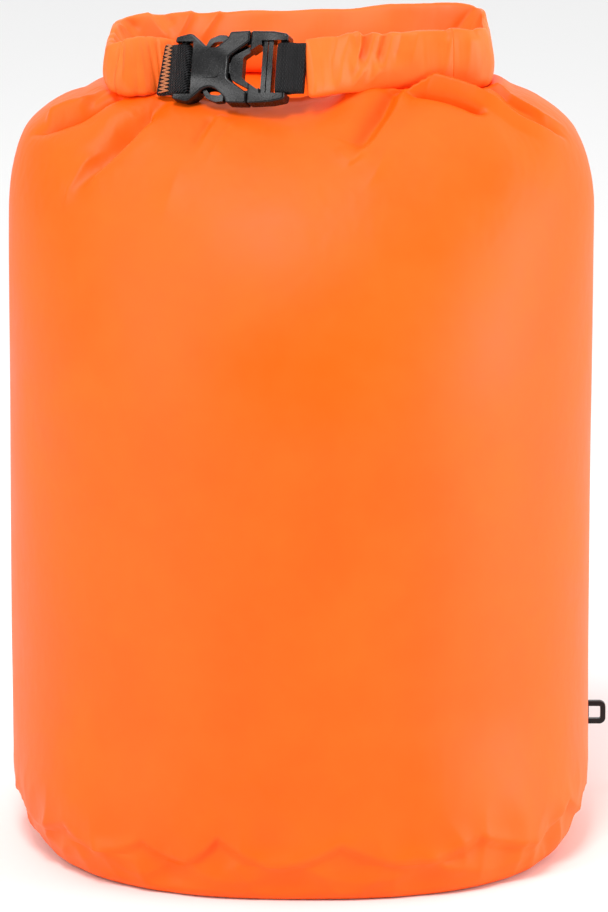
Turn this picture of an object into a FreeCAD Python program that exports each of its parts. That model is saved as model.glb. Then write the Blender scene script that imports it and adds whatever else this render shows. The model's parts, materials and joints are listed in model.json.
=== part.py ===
"""Roll-top dry bag: coated nylon tube, round base, rolled closure and side-release buckle.

Origin: centre of the base's underside. +Z is up, -Y is the front with the buckle,
+X carries the lash ring. Millimetres.
"""
import FreeCAD
import Part
import math
import os

Vector = FreeCAD.Vector
os.makedirs("parts", exist_ok=True)

# ---- driving dimensions: bag ----
BAG_R = 110.0             # outside radius of the filled tube
FABRIC = 1.0              # fabric with its coating, as a solid
BASE_H = 14.0             # height of the base panel's upturned edge
BASE_CORNER = 9.0         # rounding between floor and upturned edge
SHOULDER_Z = 226.0        # the tube starts to narrow here
DECK_Z = 279.0            # top of the shoulders, under the roll
DECK_HALF_X = 90.0
DECK_HALF_Y = 46.0
DECK_SHIFT_Y = -3.0
TAPE_T = 0.4              # seam tape
SEAM_TAPE_W = 19.0
FIT = 0.1                 # gap between layers that lie on each other
CLEAR = 0.3               # gap between soft neighbours

# ---- driving dimensions: rolled closure ----
NECK_H = 7.0              # flattened mouth between the shoulders and the roll
NECK_T = 6.2
NECK_GAP = 4.4            # inside of the flattened mouth
NECK_SLOT = 96.0          # length of the way into the bag along the back
ROLL_H = 24.0
ROLL_T = 11.0
ROLL_WALL = 1.4           # outer turn of the roll
CORE_WALL = 2.0           # inner turns of the roll
STRIP_H = 15.0            # stiffener in the mouth's hem
STRIP_T = 1.0
RING_HALF_X = 70.0        # centreline of the closed roll, in plan
RING_BACK_Y = 24.0
RING_SIDE_Y = -16.0       # where the right arm leaves the right bend
LEFT_ARM_GAP = 8.9        # from the buckle's left end to the roll's left end
LEFT_ARM_Y = -24.0
RIGHT_ARM_GAP = 8.4
RIGHT_ARM_Y = -28.5
BEND_FRONT = 9.5
BEND_BACK = 17.0

# ---- driving dimensions: webbing and buckle, drawn for 20 mm tape ----
TAPE_W = 19.0             # tape as made; everything below is scaled to it
WEB_W = 20.0
WEB_T = 1.3
WEB_TAB = 6.0             # webbing beyond the buckle, sewn flat
BUCKLE_L = 46.0
BUCKLE_HALF_V = 14.6      # half width across the webbing
BUCKLE_HALF_W = 4.0       # half thickness
SEAM_U = 30.4             # socket's mouth, measured from the socket's left end
WALL_PLATE = 1.7          # socket's front and back plates
MOUTH_U = 20.8            # left end of the socket's side walls
MOUTH_WALL = 2.7
CAVITY_U = 11.2           # blind end of the socket
BAR_T = 2.6               # webbing bars, nearly round
BAR_W = 3.2
LEFT_BAR_U = 1.4
RIGHT_BAR_U = 42.2
WEB_SIDE = 0.6            # webbing edge to buckle leg
SLOT_W = 2.8
ARM_T = 2.4               # spring arm
ARM_GAP = 0.4
PIVOT_U = 31.8            # where a spring arm bends
BOW_RISE = 2.0            # latch bow beyond the arm
BUCKLE_X = -25.0
BUCKLE_Y = -33.0
YAW = 20.0                # buckle faces a little to the left
LEAN = 25.0               # and leans back
ROLL_ANGLE = 4.5          # and rises to the right
STITCHES = 12
THREAD = 0.45

# ---- driving dimensions: lash ring ----
LASH_ANGLE = 12.0         # behind the +X side
LASH_Z = 36.5
PATCH_W = 12.0
PATCH_H = 18.0
PATCH_T = 0.5
LASH_TAPE_T = 0.5
EYE_H = 5.0
EYE_L = 5.0
EYE_CORNER = 0.5
RING_BAR = 2.0
PIN_R = 0.9

# ---- derived ----
ROLL_Z0 = DECK_Z + NECK_H + CLEAR
ROLL_MID_Z = ROLL_Z0 + ROLL_H / 2
BUCKLE_SCALE = TAPE_W / WEB_W
WEB_SPAN = WEB_W / 2 + WEB_SIDE
ARM_OUT = BUCKLE_HALF_V - MOUTH_WALL - ARM_GAP
ARM_IN = ARM_OUT - ARM_T
CAVITY_W = BUCKLE_HALF_W - WALL_PLATE
PIVOT_V = (ARM_IN + ARM_OUT) / 2
LAYER = WEB_T / 2 + FIT / 2         # the two sewn layers of a webbing tab, from its middle


def rounded_edges(corners, closed=True):
    """Straight runs joined by tangent arcs; corners are (x, y, radius)."""
    count = len(corners)
    starts, ends, arcs = {}, {}, {}
    for i, (x, y, radius) in enumerate(corners):
        here = Vector(x, y, 0)
        if radius <= 0 or (not closed and i in (0, count - 1)):
            starts[i] = ends[i] = here
            continue
        before = corners[i - 1]
        after = corners[(i + 1) % count]
        to_before = (Vector(before[0], before[1], 0) - here).normalize()
        to_after = (Vector(after[0], after[1], 0) - here).normalize()
        half = to_before.getAngle(to_after) / 2
        reach = radius / math.tan(half)
        middle = (to_before + to_after).normalize()
        starts[i] = here + to_before * reach
        ends[i] = here + to_after * reach
        top = here + middle * (radius / math.sin(half) - radius)
        arcs[i] = Part.Arc(starts[i], top, ends[i]).toShape()
    edges = []
    for i in range(count):
        if i in arcs:
            edges.append(arcs[i])
        if closed or i < count - 1:
            nxt = starts[(i + 1) % count]
            if ends[i].distanceToPoint(nxt) > 1e-6:
                edges.append(Part.makeLine(ends[i], nxt))
    return edges


def slab(corners, low, high):
    """A rounded outline in the XY plane, filled and extruded in Z."""
    face = Part.Face(Part.Wire(rounded_edges(corners)))
    face.translate(Vector(0, 0, low))
    return face.extrude(Vector(0, 0, high - low))


def mirrored(upper):
    """An outline symmetric about the X axis from its upper half."""
    return upper + [(x, -y, r) for x, y, r in reversed(upper)]


def band(corners, thickness, height, low=0.0):
    """A strip that stands on an open path: the path thickened both ways and extruded."""
    wire = Part.Wire(rounded_edges(corners, closed=False))
    halves = []
    for side in (0.5, -0.5):
        half = wire.makeOffset2D(side * thickness, join=0, fill=True, openResult=True)
        half.translate(Vector(0, 0, low))
        halves.append(half.extrude(Vector(0, 0, height)))
    return halves[0].fuse(halves[1]).removeSplitter()


def box(x0, x1, y0, y1, z0, z1):
    return Part.makeBox(x1 - x0, y1 - y0, z1 - z0, Vector(x0, y0, z0))


def tube(r_out, r_in, z0, z1):
    outer = Part.makeCylinder(r_out, z1 - z0, Vector(0, 0, z0))
    return outer.cut(Part.makeCylinder(r_in, z1 - z0, Vector(0, 0, z0)))


# ---- bag ----

def oval(half_x, half_y, shift_y, z):
    """Closed smooth section; fuller than an ellipse where it is long and narrow."""
    power = 2.0 + 0.8 * (1 - half_y / half_x)
    points = []
    for i in range(24):
        a = 2 * math.pi * i / 24
        c, s = math.cos(a), math.sin(a)
        x = half_x * math.copysign(abs(c) ** (2 / power), c)
        y = half_y * math.copysign(abs(s) ** (2 / power), s)
        points.append(Vector(x, y + shift_y, z))
    curve = Part.BSplineCurve()
    curve.interpolate(points, PeriodicFlag=True)
    return Part.Wire(curve.toShape())


def bag_body(inset, z_low):
    """The filled tube with its shoulders, drawn in by inset all round."""
    top = DECK_Z - inset
    radius = BAG_R - inset
    sections = [oval(radius, radius, 0, z_low)]
    for step in range(9):
        a = math.pi / 2 * step / 8
        z = SHOULDER_Z + (top - SHOULDER_Z) * math.sin(a)
        side = 1 - math.cos(a) ** 0.9 if step < 8 else 1.0
        half_x = radius - (BAG_R - DECK_HALF_X) * side ** 1.6
        half_y = radius - (BAG_R - DECK_HALF_Y) * side
        sections.append(oval(half_x, half_y, DECK_SHIFT_Y * side, z))
    return Part.makeLoft(sections, True, True)


def ring_path(left_extra=0.0, right_extra=0.0):
    """Centreline of the closed roll, from its left end round the back to its right end."""
    buckle_half = BUCKLE_SCALE * BUCKLE_L / 2 * math.cos(math.radians(YAW))
    lx, ly = BUCKLE_X - buckle_half - LEFT_ARM_GAP, LEFT_ARM_Y
    rx, ry = BUCKLE_X + buckle_half + RIGHT_ARM_GAP, RIGHT_ARM_Y
    return [
        (lx - left_extra, ly, 0),
        (-RING_HALF_X, ly, BEND_FRONT),
        (-RING_HALF_X, RING_BACK_Y, BEND_BACK),
        (RING_HALF_X, RING_BACK_Y, BEND_BACK),
        (RING_HALF_X, RING_SIDE_Y, BEND_FRONT),
        (rx + right_extra, ry, 0),
    ]


def make_side_wall():
    shell = bag_body(0.0, BASE_H).cut(bag_body(FABRIC, BASE_H))
    neck = band(ring_path(), NECK_T, NECK_H + FABRIC / 2, DECK_Z - FABRIC / 2)
    half = NECK_SLOT / 2
    slot = box(-half, half, RING_BACK_Y - NECK_GAP / 2, RING_BACK_Y + NECK_GAP / 2,
               DECK_Z - 3 * FABRIC, DECK_Z + NECK_H + 1)
    return shell.fuse(neck).cut(slot)


def make_base_panel():
    outer = Part.makeCylinder(BAG_R, BASE_H)
    outer = outer.makeFillet(BASE_CORNER, [outer.Edges[2]])
    inner = Part.makeCylinder(BAG_R - FABRIC, BASE_H, Vector(0, 0, FABRIC))
    inner = inner.makeFillet(BASE_CORNER - FABRIC, [inner.Edges[2]])
    return outer.cut(inner)


def make_base_seam_tape():
    r_out = BAG_R - FABRIC - FIT
    low = BASE_H - (BASE_H - BASE_CORNER) * 0.7
    return tube(r_out, r_out - TAPE_T, low, low + SEAM_TAPE_W)


def make_side_seam_tape():
    r_out = BAG_R - FABRIC - FIT
    low = BASE_H + SEAM_TAPE_W
    strip = tube(r_out, r_out - TAPE_T, low, SHOULDER_Z)
    keep = box(0, BAG_R, -SEAM_TAPE_W / 2, SEAM_TAPE_W / 2, low, SHOULDER_Z)
    keep.rotate(Vector(), Vector(0, 0, 1), LASH_ANGLE)
    return strip.common(keep)


# ---- rolled closure ----

def roll_shell(thickness, height, wall, end_inset):
    """One turn of the roll: a closed C-shaped tube round the loop."""
    low = ROLL_MID_Z - height / 2
    outer = band(ring_path(end_inset, end_inset), thickness, height, low)
    inner = band(ring_path(end_inset + wall, end_inset + wall),
                 thickness - 2 * wall, height - 2 * wall, low + wall)
    return outer, inner


def make_roll_cover():
    outer, inner = roll_shell(ROLL_T, ROLL_H, ROLL_WALL, 0.0)
    upright = [e for e in outer.Edges if e.BoundBox.ZLength < 0.01 and e.Length > ROLL_T * 1.2]
    return outer.makeFillet(ROLL_T * 0.3, upright).cut(inner)


def make_roll_core():
    gap = 2 * (ROLL_WALL + CLEAR)
    outer, inner = roll_shell(ROLL_T - gap, ROLL_H - gap, CORE_WALL, ROLL_WALL + CLEAR)
    return outer.cut(inner)


def make_stiffener_strip():
    end = ROLL_WALL + CORE_WALL + 3 * CLEAR
    return band(ring_path(end, end), STRIP_T, STRIP_H, ROLL_MID_Z - STRIP_H / 2)


# ---- buckle, in its own frame: u to the right, v up, w towards the viewer ----

def buckle_placement():
    yaw, lean = math.radians(YAW), math.radians(LEAN)
    across = Vector(math.cos(yaw), -math.sin(yaw), 0)
    normal = Vector(-math.sin(yaw) * math.cos(lean), -math.cos(yaw) * math.cos(lean),
                    math.sin(lean))
    up = normal.cross(across)
    turn = FreeCAD.Rotation(across, up, normal, "ZXY")
    spin = FreeCAD.Rotation(Vector(0, 0, 1), ROLL_ANGLE)
    middle = FreeCAD.Placement(Vector(-BUCKLE_L / 2, 0, 0), FreeCAD.Rotation())
    seat = FreeCAD.Placement(Vector(BUCKLE_X, BUCKLE_Y, ROLL_MID_Z), turn.multiply(spin))
    return seat.multiply(middle)


def on_buckle(shape):
    placed = shape.copy()
    placed.scale(BUCKLE_SCALE, Vector(BUCKLE_L / 2, 0, 0))
    placed.Placement = buckle_placement().multiply(placed.Placement)
    return placed


def softened(shape, radius):
    """Round the outline edges of both faces of a slab."""
    top = shape.BoundBox.ZMax
    low = shape.BoundBox.ZMin
    rims = [e for e in shape.Edges if e.BoundBox.ZLength < 1e-6
            and (abs(e.BoundBox.ZMax - top) < 1e-6 or abs(e.BoundBox.ZMin - low) < 1e-6)]
    return shape.makeFillet(radius, rims)


def web_bar(u):
    bar = box(u, u + BAR_W, -WEB_SPAN - 1, WEB_SPAN + 1, -BAR_T / 2, BAR_T / 2)
    longest = [e for e in bar.Edges if e.BoundBox.YLength > WEB_W]
    return bar.makeFillet(BAR_T * 0.48, longest)


def make_buckle_female():
    half_v, half_w = BUCKLE_HALF_V, BUCKLE_HALF_W
    upper = [
        (0, half_v - 2.2, 1.2),
        (6.4, half_v - 0.6, 3.0),
        (14.9, 6.4, 5.0),
        (MOUTH_U + 0.3, half_v - 3.0, 1.5),
        (MOUTH_U + 1.6, half_v - 0.3, 1.2),
        (SEAM_U, half_v, 0.6),
        (SEAM_U, 10.2, 0.4),
        (22.2, 4.4, 2.0),
    ]
    body = softened(slab(mirrored(upper), -half_w, half_w), 0.8)
    wide, far = 2 * half_v, SEAM_U + 1
    body = body.cut(box(CAVITY_U, MOUTH_U, -wide, wide, -CAVITY_W, CAVITY_W))
    room = ARM_OUT + ARM_GAP
    body = body.cut(box(MOUTH_U - 1, far, -room, room, -CAVITY_W, CAVITY_W))
    slot_end = LEFT_BAR_U + BAR_W + SLOT_W
    body = body.cut(box(-1, slot_end, -WEB_SPAN, WEB_SPAN, -wide, wide))
    pad = slab(mirrored([(11.2, 4.2, 1.4), (18.4, 4.2, 1.4)]), half_w - 0.4, half_w + 0.25)
    return on_buckle(body.fuse(web_bar(LEFT_BAR_U)).fuse(pad))


def make_buckle_male():
    half_v = BUCKLE_HALF_V
    frame_w = BUCKLE_HALF_W - 0.3
    core_w = CAVITY_W - CLEAR
    tongue = [
        (13.8, 1.9, 0.8),
        (22.6, 1.9, 0.3),
        (23.4, 4.7, 1.2),
        (SEAM_U - 0.2, ARM_IN - 0.9, 0.5),
        (PIVOT_U + 1.4, ARM_IN - 0.9, 0),
    ]
    core = slab(mirrored(tongue), -core_w, core_w)
    frame = [
        (SEAM_U + CLEAR, half_v, 1.0),
        (40.0, half_v - 0.3, 6.0),
        (BUCKLE_L, half_v - 1.4, 1.5),
    ]
    outer = softened(slab(mirrored(frame), -frame_w, frame_w), 0.8)
    body = outer.fuse(core)
    window = slab(mirrored([(27.7, 4.2, 1.5), (35.6, 9.6, 0.8)]), -half_v, half_v)
    body = body.cut(window)
    bars_end = RIGHT_BAR_U - SLOT_W + 0.4
    split = (35.6 + bars_end) / 2
    body = body.cut(box(split - 0.2, split + 0.2, -WEB_SPAN, WEB_SPAN, -half_v, half_v))
    body = body.cut(box(bars_end, BUCKLE_L + 1, -WEB_SPAN, WEB_SPAN, -half_v, half_v))
    for low, high in ((2.2, half_v), (-half_v, -2.2)):
        body = body.cut(box(35.4, bars_end + 0.1, -WEB_SPAN, WEB_SPAN, low, high))
    for side in (1, -1):
        v0, v1 = sorted((side * (ARM_IN - 0.7), side * (ARM_OUT + ARM_GAP)))
        pocket = box(SEAM_U, PIVOT_U + ARM_T / 2 + CLEAR, v0, v1, -CAVITY_W, CAVITY_W)
        body = body.cut(pocket)
    return on_buckle(body.fuse(web_bar(RIGHT_BAR_U)))


def arm_outline():
    """Spring arm with its latch bow, upper side; it bends at PIVOT_U."""
    root = PIVOT_U + ARM_T / 2
    latch = MOUTH_U - CLEAR
    rise = ARM_OUT + BOW_RISE
    return [
        (root, ARM_IN, 0.45 * ARM_T),
        (root, ARM_OUT, 0.45 * ARM_T),
        (latch, ARM_OUT, 0.2),
        (latch, rise - 0.3, 0.4),
        (17.4, rise, 2.5),
        (13.4, rise - 1.6, 2.0),
        (CAVITY_U + 0.6, ARM_IN - 0.4, 0.5),
        (CAVITY_U + 1.9, ARM_IN - 0.8, 0.5),
        (15.2, ARM_OUT - 1.0, 1.5),
        (18.6, ARM_OUT - 0.6, 1.5),
        (21.4, ARM_IN, 1.5),
    ]


def make_buckle_arm(side):
    half = CAVITY_W - CLEAR - FIT
    corners = [(x, side * y, r) for x, y, r in arm_outline()]
    return on_buckle(slab(corners, -half, half))


def make_webbing(bar_u, direction):
    """Tape folded round a bar; direction is +1 where its sewn end points to +u."""
    reach = BAR_T / 2 + FIT + WEB_T / 2
    far_side = bar_u if direction > 0 else bar_u + BAR_W
    end = BUCKLE_L + WEB_TAB if direction > 0 else -WEB_TAB
    turn = far_side - direction * (FIT + WEB_T / 2)
    leave = (bar_u + BAR_W if direction > 0 else bar_u) + direction * 0.8
    join = leave + direction * 2.2
    half = [(end, LAYER, 0), (join, LAYER, WEB_T), (leave, reach, WEB_T),
            (turn, reach, reach * 0.95)]
    path = half + [(x, -y, r) for x, y, r in reversed(half)]
    strip = band(path, WEB_T, WEB_W, -WEB_W / 2)
    strip.rotate(Vector(), Vector(1, 0, 0), 90)
    return on_buckle(strip)


def make_webbing_stitches():
    """Zigzag across the left tape, close to its sewn end."""
    face = LAYER + WEB_T / 2
    pitch = (WEB_W - 1.6) / STITCHES
    stitches = []
    for i in range(STITCHES):
        slant = 35.0 if i % 2 else -35.0
        one = box(-1.4, 1.4, -THREAD / 2, THREAD / 2, 0, THREAD * 0.8)
        one.rotate(Vector(), Vector(0, 0, 1), slant)
        one.translate(Vector(2.2 - WEB_TAB, pitch * (i + 0.5 - STITCHES / 2), face))
        stitches.append(one)
    merged = stitches[0].multiFuse(stitches[1:])
    return on_buckle(Part.makeCompound(merged.Solids))


# ---- lash ring ----

def at_lash(shape):
    shape.rotate(Vector(), Vector(0, 0, 1), LASH_ANGLE)
    return shape


def lash_pin_radius():
    return BAG_R + FIT + PATCH_T + LASH_TAPE_T + 2 * FIT + PIN_R


def make_lash_patch():
    low = LASH_Z - PATCH_H / 2
    plate = tube(BAG_R + FIT + PATCH_T, BAG_R + FIT, low, low + PATCH_H)
    keep = box(0, BAG_R + 5, -PATCH_W / 2, PATCH_W / 2, low, low + PATCH_H)
    return at_lash(plate.common(keep))


def make_lash_tape():
    """Narrow tape round the ring's straight bar, its two legs sewn to the patch."""
    pin = lash_pin_radius()
    reach = PIN_R + FIT + LASH_TAPE_T / 2
    foot = BAG_R + FIT + PATCH_T + LASH_TAPE_T / 2
    spread = PATCH_W / 2 - 1.0
    height = EYE_H - 2 * CLEAR
    half = [(foot, spread, 0), (foot, reach + 0.6, 0.5), (pin + reach, reach, reach * 0.95)]
    path = half + [(x, -y, r) for x, y, r in reversed(half)]
    strip = band(path, LASH_TAPE_T, height, LASH_Z - height / 2)
    under = Part.makeCylinder(BAG_R + FIT + PATCH_T + FIT / 2, 2 * EYE_H,
                              Vector(0, 0, LASH_Z - EYE_H))
    return at_lash(strip.cut(under))


def make_lash_stitches():
    """Bar tacks that hold the tape's legs to the patch."""
    outside = BAG_R + FIT + PATCH_T + LASH_TAPE_T
    tacks = []
    for side in (1, -1):
        for level in (-1.2, 0, 1.2):
            y = side * (PATCH_W / 2 - 2.2)
            tacks.append(box(outside, outside + THREAD, y - 0.9, y + 0.9,
                             LASH_Z + level - THREAD / 2, LASH_Z + level + THREAD / 2))
    return at_lash(Part.makeCompound(tacks))


def lash_pivot():
    a = math.radians(LASH_ANGLE)
    return Vector(lash_pin_radius() * math.cos(a), lash_pin_radius() * math.sin(a), LASH_Z)


def make_lash_ring():
    """D ring whose straight bar is the pin in the tape; it points to +X."""
    half_z = EYE_H / 2 + RING_BAR
    end = PIN_R + EYE_L + RING_BAR
    outline = [(-PIN_R, half_z, 0.9), (end, half_z, 2.4), (end, -half_z, 2.4), (-PIN_R, -half_z, 0.9)]
    ring = slab(outline, -RING_BAR / 2, RING_BAR / 2)
    eye_half = EYE_H / 2
    eye = [(-2 * PIN_R, eye_half, 0), (PIN_R + EYE_L, eye_half, EYE_CORNER),
           (PIN_R + EYE_L, -eye_half, EYE_CORNER), (-2 * PIN_R, -eye_half, 0)]
    ring = ring.cut(slab(eye, -RING_BAR, RING_BAR))
    pin = Part.makeCylinder(PIN_R, EYE_H + RING_BAR, Vector(0, -(EYE_H + RING_BAR) / 2, 0),
                            Vector(0, 1, 0))
    ring = ring.fuse(pin)
    ring.rotate(Vector(), Vector(1, 0, 0), 90)
    ring.translate(lash_pivot())
    return ring


PIECES = {
    "side_wall": make_side_wall,
    "base_panel": make_base_panel,
    "base_seam_tape": make_base_seam_tape,
    "side_seam_tape": make_side_seam_tape,
    "roll_cover": make_roll_cover,
    "roll_core": make_roll_core,
    "stiffener_strip": make_stiffener_strip,
    "left_webbing": lambda: make_webbing(LEFT_BAR_U, -1),
    "right_webbing": lambda: make_webbing(RIGHT_BAR_U, 1),
    "webbing_stitches": make_webbing_stitches,
    "buckle_female": make_buckle_female,
    "buckle_male": make_buckle_male,
    "buckle_upper_arm": lambda: make_buckle_arm(1),
    "buckle_lower_arm": lambda: make_buckle_arm(-1),
    "lash_patch": make_lash_patch,
    "lash_tape": make_lash_tape,
    "lash_stitches": make_lash_stitches,
    "lash_ring": make_lash_ring,
}

for name, make in PIECES.items():
    shape = make()
    shape.exportStep("parts/%s.step" % name)
    size = shape.BoundBox
    print("%-18s valid %s solids %d volume %.1f  x %.1f %.1f  y %.1f %.1f  z %.1f %.1f" % (
        name, shape.isValid(), len(shape.Solids), shape.Volume,
        size.XMin, size.XMax, size.YMin, size.YMax, size.ZMin, size.ZMax))

seat = buckle_placement()
origin = seat.multVec(Vector(0, 0, 0))
for label, local in (("slide axis", Vector(1, 0, 0)), ("arm axis", Vector(0, 0, 1))):
    print(label, seat.multVec(local) - origin)
pivot_u = BUCKLE_L / 2 + BUCKLE_SCALE * (PIVOT_U - BUCKLE_L / 2)
print("upper pivot", seat.multVec(Vector(pivot_u, BUCKLE_SCALE * PIVOT_V, 0)))
print("lower pivot", seat.multVec(Vector(pivot_u, -BUCKLE_SCALE * PIVOT_V, 0)))
print("lash pivot", lash_pivot())
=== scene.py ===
import bpy
import json
import math
import numpy as np
from bpy.props import FloatProperty, FloatVectorProperty, PointerProperty
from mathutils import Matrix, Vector


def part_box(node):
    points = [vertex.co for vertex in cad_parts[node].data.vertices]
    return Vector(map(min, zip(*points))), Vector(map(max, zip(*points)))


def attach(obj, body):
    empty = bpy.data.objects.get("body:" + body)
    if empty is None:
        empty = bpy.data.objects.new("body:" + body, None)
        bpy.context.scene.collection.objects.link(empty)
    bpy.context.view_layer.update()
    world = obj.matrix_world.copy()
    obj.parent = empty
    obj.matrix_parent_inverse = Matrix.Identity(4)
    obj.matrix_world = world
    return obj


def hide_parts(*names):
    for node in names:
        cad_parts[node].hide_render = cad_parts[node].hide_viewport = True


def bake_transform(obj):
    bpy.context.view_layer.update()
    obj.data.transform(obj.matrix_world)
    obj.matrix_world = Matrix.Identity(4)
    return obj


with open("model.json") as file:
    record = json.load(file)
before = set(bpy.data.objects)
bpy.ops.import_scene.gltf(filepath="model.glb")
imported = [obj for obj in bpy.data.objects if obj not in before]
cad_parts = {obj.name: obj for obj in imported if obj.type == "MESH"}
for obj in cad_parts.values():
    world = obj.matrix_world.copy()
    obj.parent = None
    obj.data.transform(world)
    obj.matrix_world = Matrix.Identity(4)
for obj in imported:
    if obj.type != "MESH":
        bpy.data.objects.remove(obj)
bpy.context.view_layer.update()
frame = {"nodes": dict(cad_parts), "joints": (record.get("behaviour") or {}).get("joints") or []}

bl_info = {
    "name": "Roll-top dry bag",
    "version": (1, 0, 0),
    "blender": (4, 5, 0),
    "location": "View3D > Sidebar > Dry Bag",
    "description": "Makes the fabric, closure, webbing and finishes of a roll-top dry bag",
    "category": "Object",
}

# Shape functions work in millimetres; meshes are made in metres.
MM = 0.001
JOINTS = {joint["name"]: joint for joint in frame["joints"]}


def node_box(node):
    """Lowest and highest corner of a frame node, in millimetres."""
    low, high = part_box(node)
    return np.array(low) / MM, np.array(high) / MM


WALL_LOW, WALL_HIGH = node_box("side_wall")
ROLL_LOW, ROLL_HIGH = node_box("roll_cover")
BAG_R = (WALL_HIGH[0] - WALL_LOW[0]) / 2
SEAM_Z = WALL_LOW[2]
ROLL_Z0, ROLL_Z1 = ROLL_LOW[2], ROLL_HIGH[2]
ROLL_MID = (ROLL_Z0 + ROLL_Z1) / 2
PATCH_LOW, PATCH_HIGH = node_box("lash_patch")
LASH_TURN = math.atan2(PATCH_LOW[1] + PATCH_HIGH[1], PATCH_LOW[0] + PATCH_HIGH[0])
LASH_Z = (PATCH_LOW[2] + PATCH_HIGH[2]) / 2

# Buckle axes: along the pull, across the webbing, and out of its face.
PULL = Vector(JOINTS["buckle_release"]["axis"]).normalized()
FACE = Vector(JOINTS["upper_arm_press"]["axis"]).normalized()
ACROSS = FACE.cross(PULL).normalized()
UPPER_PIVOT = Vector(JOINTS["upper_arm_press"]["pos_m"])
LOWER_PIVOT = Vector(JOINTS["lower_arm_press"]["pos_m"])
PIVOT_U = 31.8            # the buckle is drawn for 20 mm tape, its arms bending here
PIVOT_SPREAD = 20.6       # and this far apart
BUCKLE_SCALE = (UPPER_PIVOT - LOWER_PIVOT).length / MM / PIVOT_SPREAD


def on_buckle(u, v, w):
    """A point of the buckle's own drawing: u from the socket's left end, v across, w to the front."""
    base = np.array((UPPER_PIVOT + LOWER_PIVOT) / 2) / MM
    u, v, w = np.broadcast_arrays(np.asarray(u, float), v, w)
    offset = (u - PIVOT_U)[..., None] * np.array(PULL)
    offset = offset + v[..., None] * np.array(ACROSS) + w[..., None] * np.array(FACE)
    return base + BUCKLE_SCALE * offset


# ---------------------------------------------------------------- settings

class DryBagSettings(bpy.types.PropertyGroup):
    """Sizes and colours of the dry bag that a user would change."""

    fabric_colour: FloatVectorProperty(
        name="Fabric colour", description="Coated nylon of the bag", subtype="COLOR",
        size=4, min=0, max=1, default=(0.97, 0.115, 0.001, 1.0))
    fabric_bright: FloatVectorProperty(
        name="Fabric highlight", description="Colour where the fabric is stretched or worn pale",
        subtype="COLOR", size=4, min=0, max=1, default=(1.0, 0.132, 0.004, 1.0))
    # Roll colour is painted light: the roll's nylon is made paler to stand in for the extra light that falls
    # on the roll, not a real change of the cloth.
    roll_painted_light_colour: FloatVectorProperty(
        name="Roll colour", description="The same nylon in the roll, paler from handling",
        subtype="COLOR", size=4, min=0, max=1, default=(1.0, 0.145, 0.014, 1.0))
    webbing_colour: FloatVectorProperty(
        name="Webbing colour", description="Woven tape of the closure", subtype="COLOR",
        size=4, min=0, max=1, default=(0.006, 0.006, 0.007, 1.0))
    buckle_colour: FloatVectorProperty(
        name="Buckle colour", description="Moulded plastic of the buckle", subtype="COLOR",
        size=4, min=0, max=1, default=(0.007, 0.007, 0.0075, 1.0))
    thread_colour: FloatVectorProperty(
        name="Thread colour", description="Sewing thread of the tabs", subtype="COLOR",
        size=4, min=0, max=1, default=(0.62, 0.2, 0.06, 1.0))
    crease_depth: FloatProperty(
        name="Crease depth", description="Scale of the shoulder creases", min=0, max=2, default=1.3)
    ripple_depth: FloatProperty(
        name="Seam ripple", description="Depth of the puckers at the base seam", min=0,
        max=0.006, default=0.0019, unit="LENGTH")
    wrinkle_depth: FloatProperty(
        name="Wrinkle depth", description="Height of the fine wrinkles of the roll", min=0,
        max=0.002, default=0.0005, unit="LENGTH")
    camera_distance: FloatProperty(
        name="Camera distance", description="From the camera to the bag's axis", min=0.5,
        max=10, default=2.6, unit="LENGTH")
    camera_elevation: FloatProperty(
        name="Camera elevation", description="Height angle of the view", subtype="ANGLE",
        default=math.radians(13.5))


def settings():
    return bpy.context.scene.dry_bag


# ---------------------------------------------------------------- mesh helpers

def smoothstep(x):
    x = np.clip(x, 0.0, 1.0)
    return x * x * (3 - 2 * x)


def grid_object(name, grid, closed=True, cap_start=False, cap_end=False):
    """A smooth mesh through a grid of points (rows, columns, 3), in millimetres."""
    rows, cols = grid.shape[:2]
    verts = (grid.reshape(-1, 3) * MM).tolist()
    index = np.arange(rows * cols).reshape(rows, cols)
    right = np.roll(index, -1, axis=1)
    span = cols if closed else cols - 1
    faces = np.stack([index[:-1, :span], right[:-1, :span], right[1:, :span], index[1:, :span]], -1)
    faces = faces.reshape(-1, 4).tolist()
    for wanted, row in ((cap_start, 0), (cap_end, rows - 1)):
        if wanted:
            centre = len(verts)
            verts.append((grid[row].mean(0) * MM).tolist())
            for a, b in zip(index[row], right[row]):
                faces.append([b, a, centre] if row == 0 else [a, b, centre])
    return mesh_object(name, verts, faces)


def mesh_object(name, verts, faces):
    mesh = bpy.data.meshes.new(name)
    mesh.from_pydata(verts, [], faces)
    mesh.validate()
    mesh.polygons.foreach_set("use_smooth", [True] * len(mesh.polygons))
    piece = bpy.data.objects.new(name, mesh)
    bpy.context.scene.collection.objects.link(piece)
    return piece


def grid_normals(grid, closed=True):
    """Unit normals of a grid of points, pointing out of a tube whose columns run round it."""
    if closed:
        around = np.roll(grid, -1, axis=1) - np.roll(grid, 1, axis=1)
    else:
        around = np.gradient(grid, axis=1)
    along = np.gradient(grid, axis=0)
    normals = np.cross(around, along)
    length = np.linalg.norm(normals, axis=-1, keepdims=True)
    return normals / np.maximum(length, 1e-9)


def waves(x, y, length_x, length_y, seed, count=18):
    """Smooth uneven noise of about unit height; the lengths are its feature sizes."""
    draw = np.random.default_rng(seed)
    total = np.zeros(np.broadcast(x, y).shape)
    for _ in range(count):
        fx = draw.normal() / length_x
        fy = draw.normal() / length_y
        total += np.sin(2 * math.pi * (x * fx + y * fy) * 0.6 + draw.uniform(0, 2 * math.pi))
    return total / math.sqrt(count / 2)


def creased(x, y, length_x, length_y, seed):
    """Uneven noise with sharp crests, as crumpled fabric has."""
    return 0.6 - np.abs(waves(x, y, length_x, length_y, seed))


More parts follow.
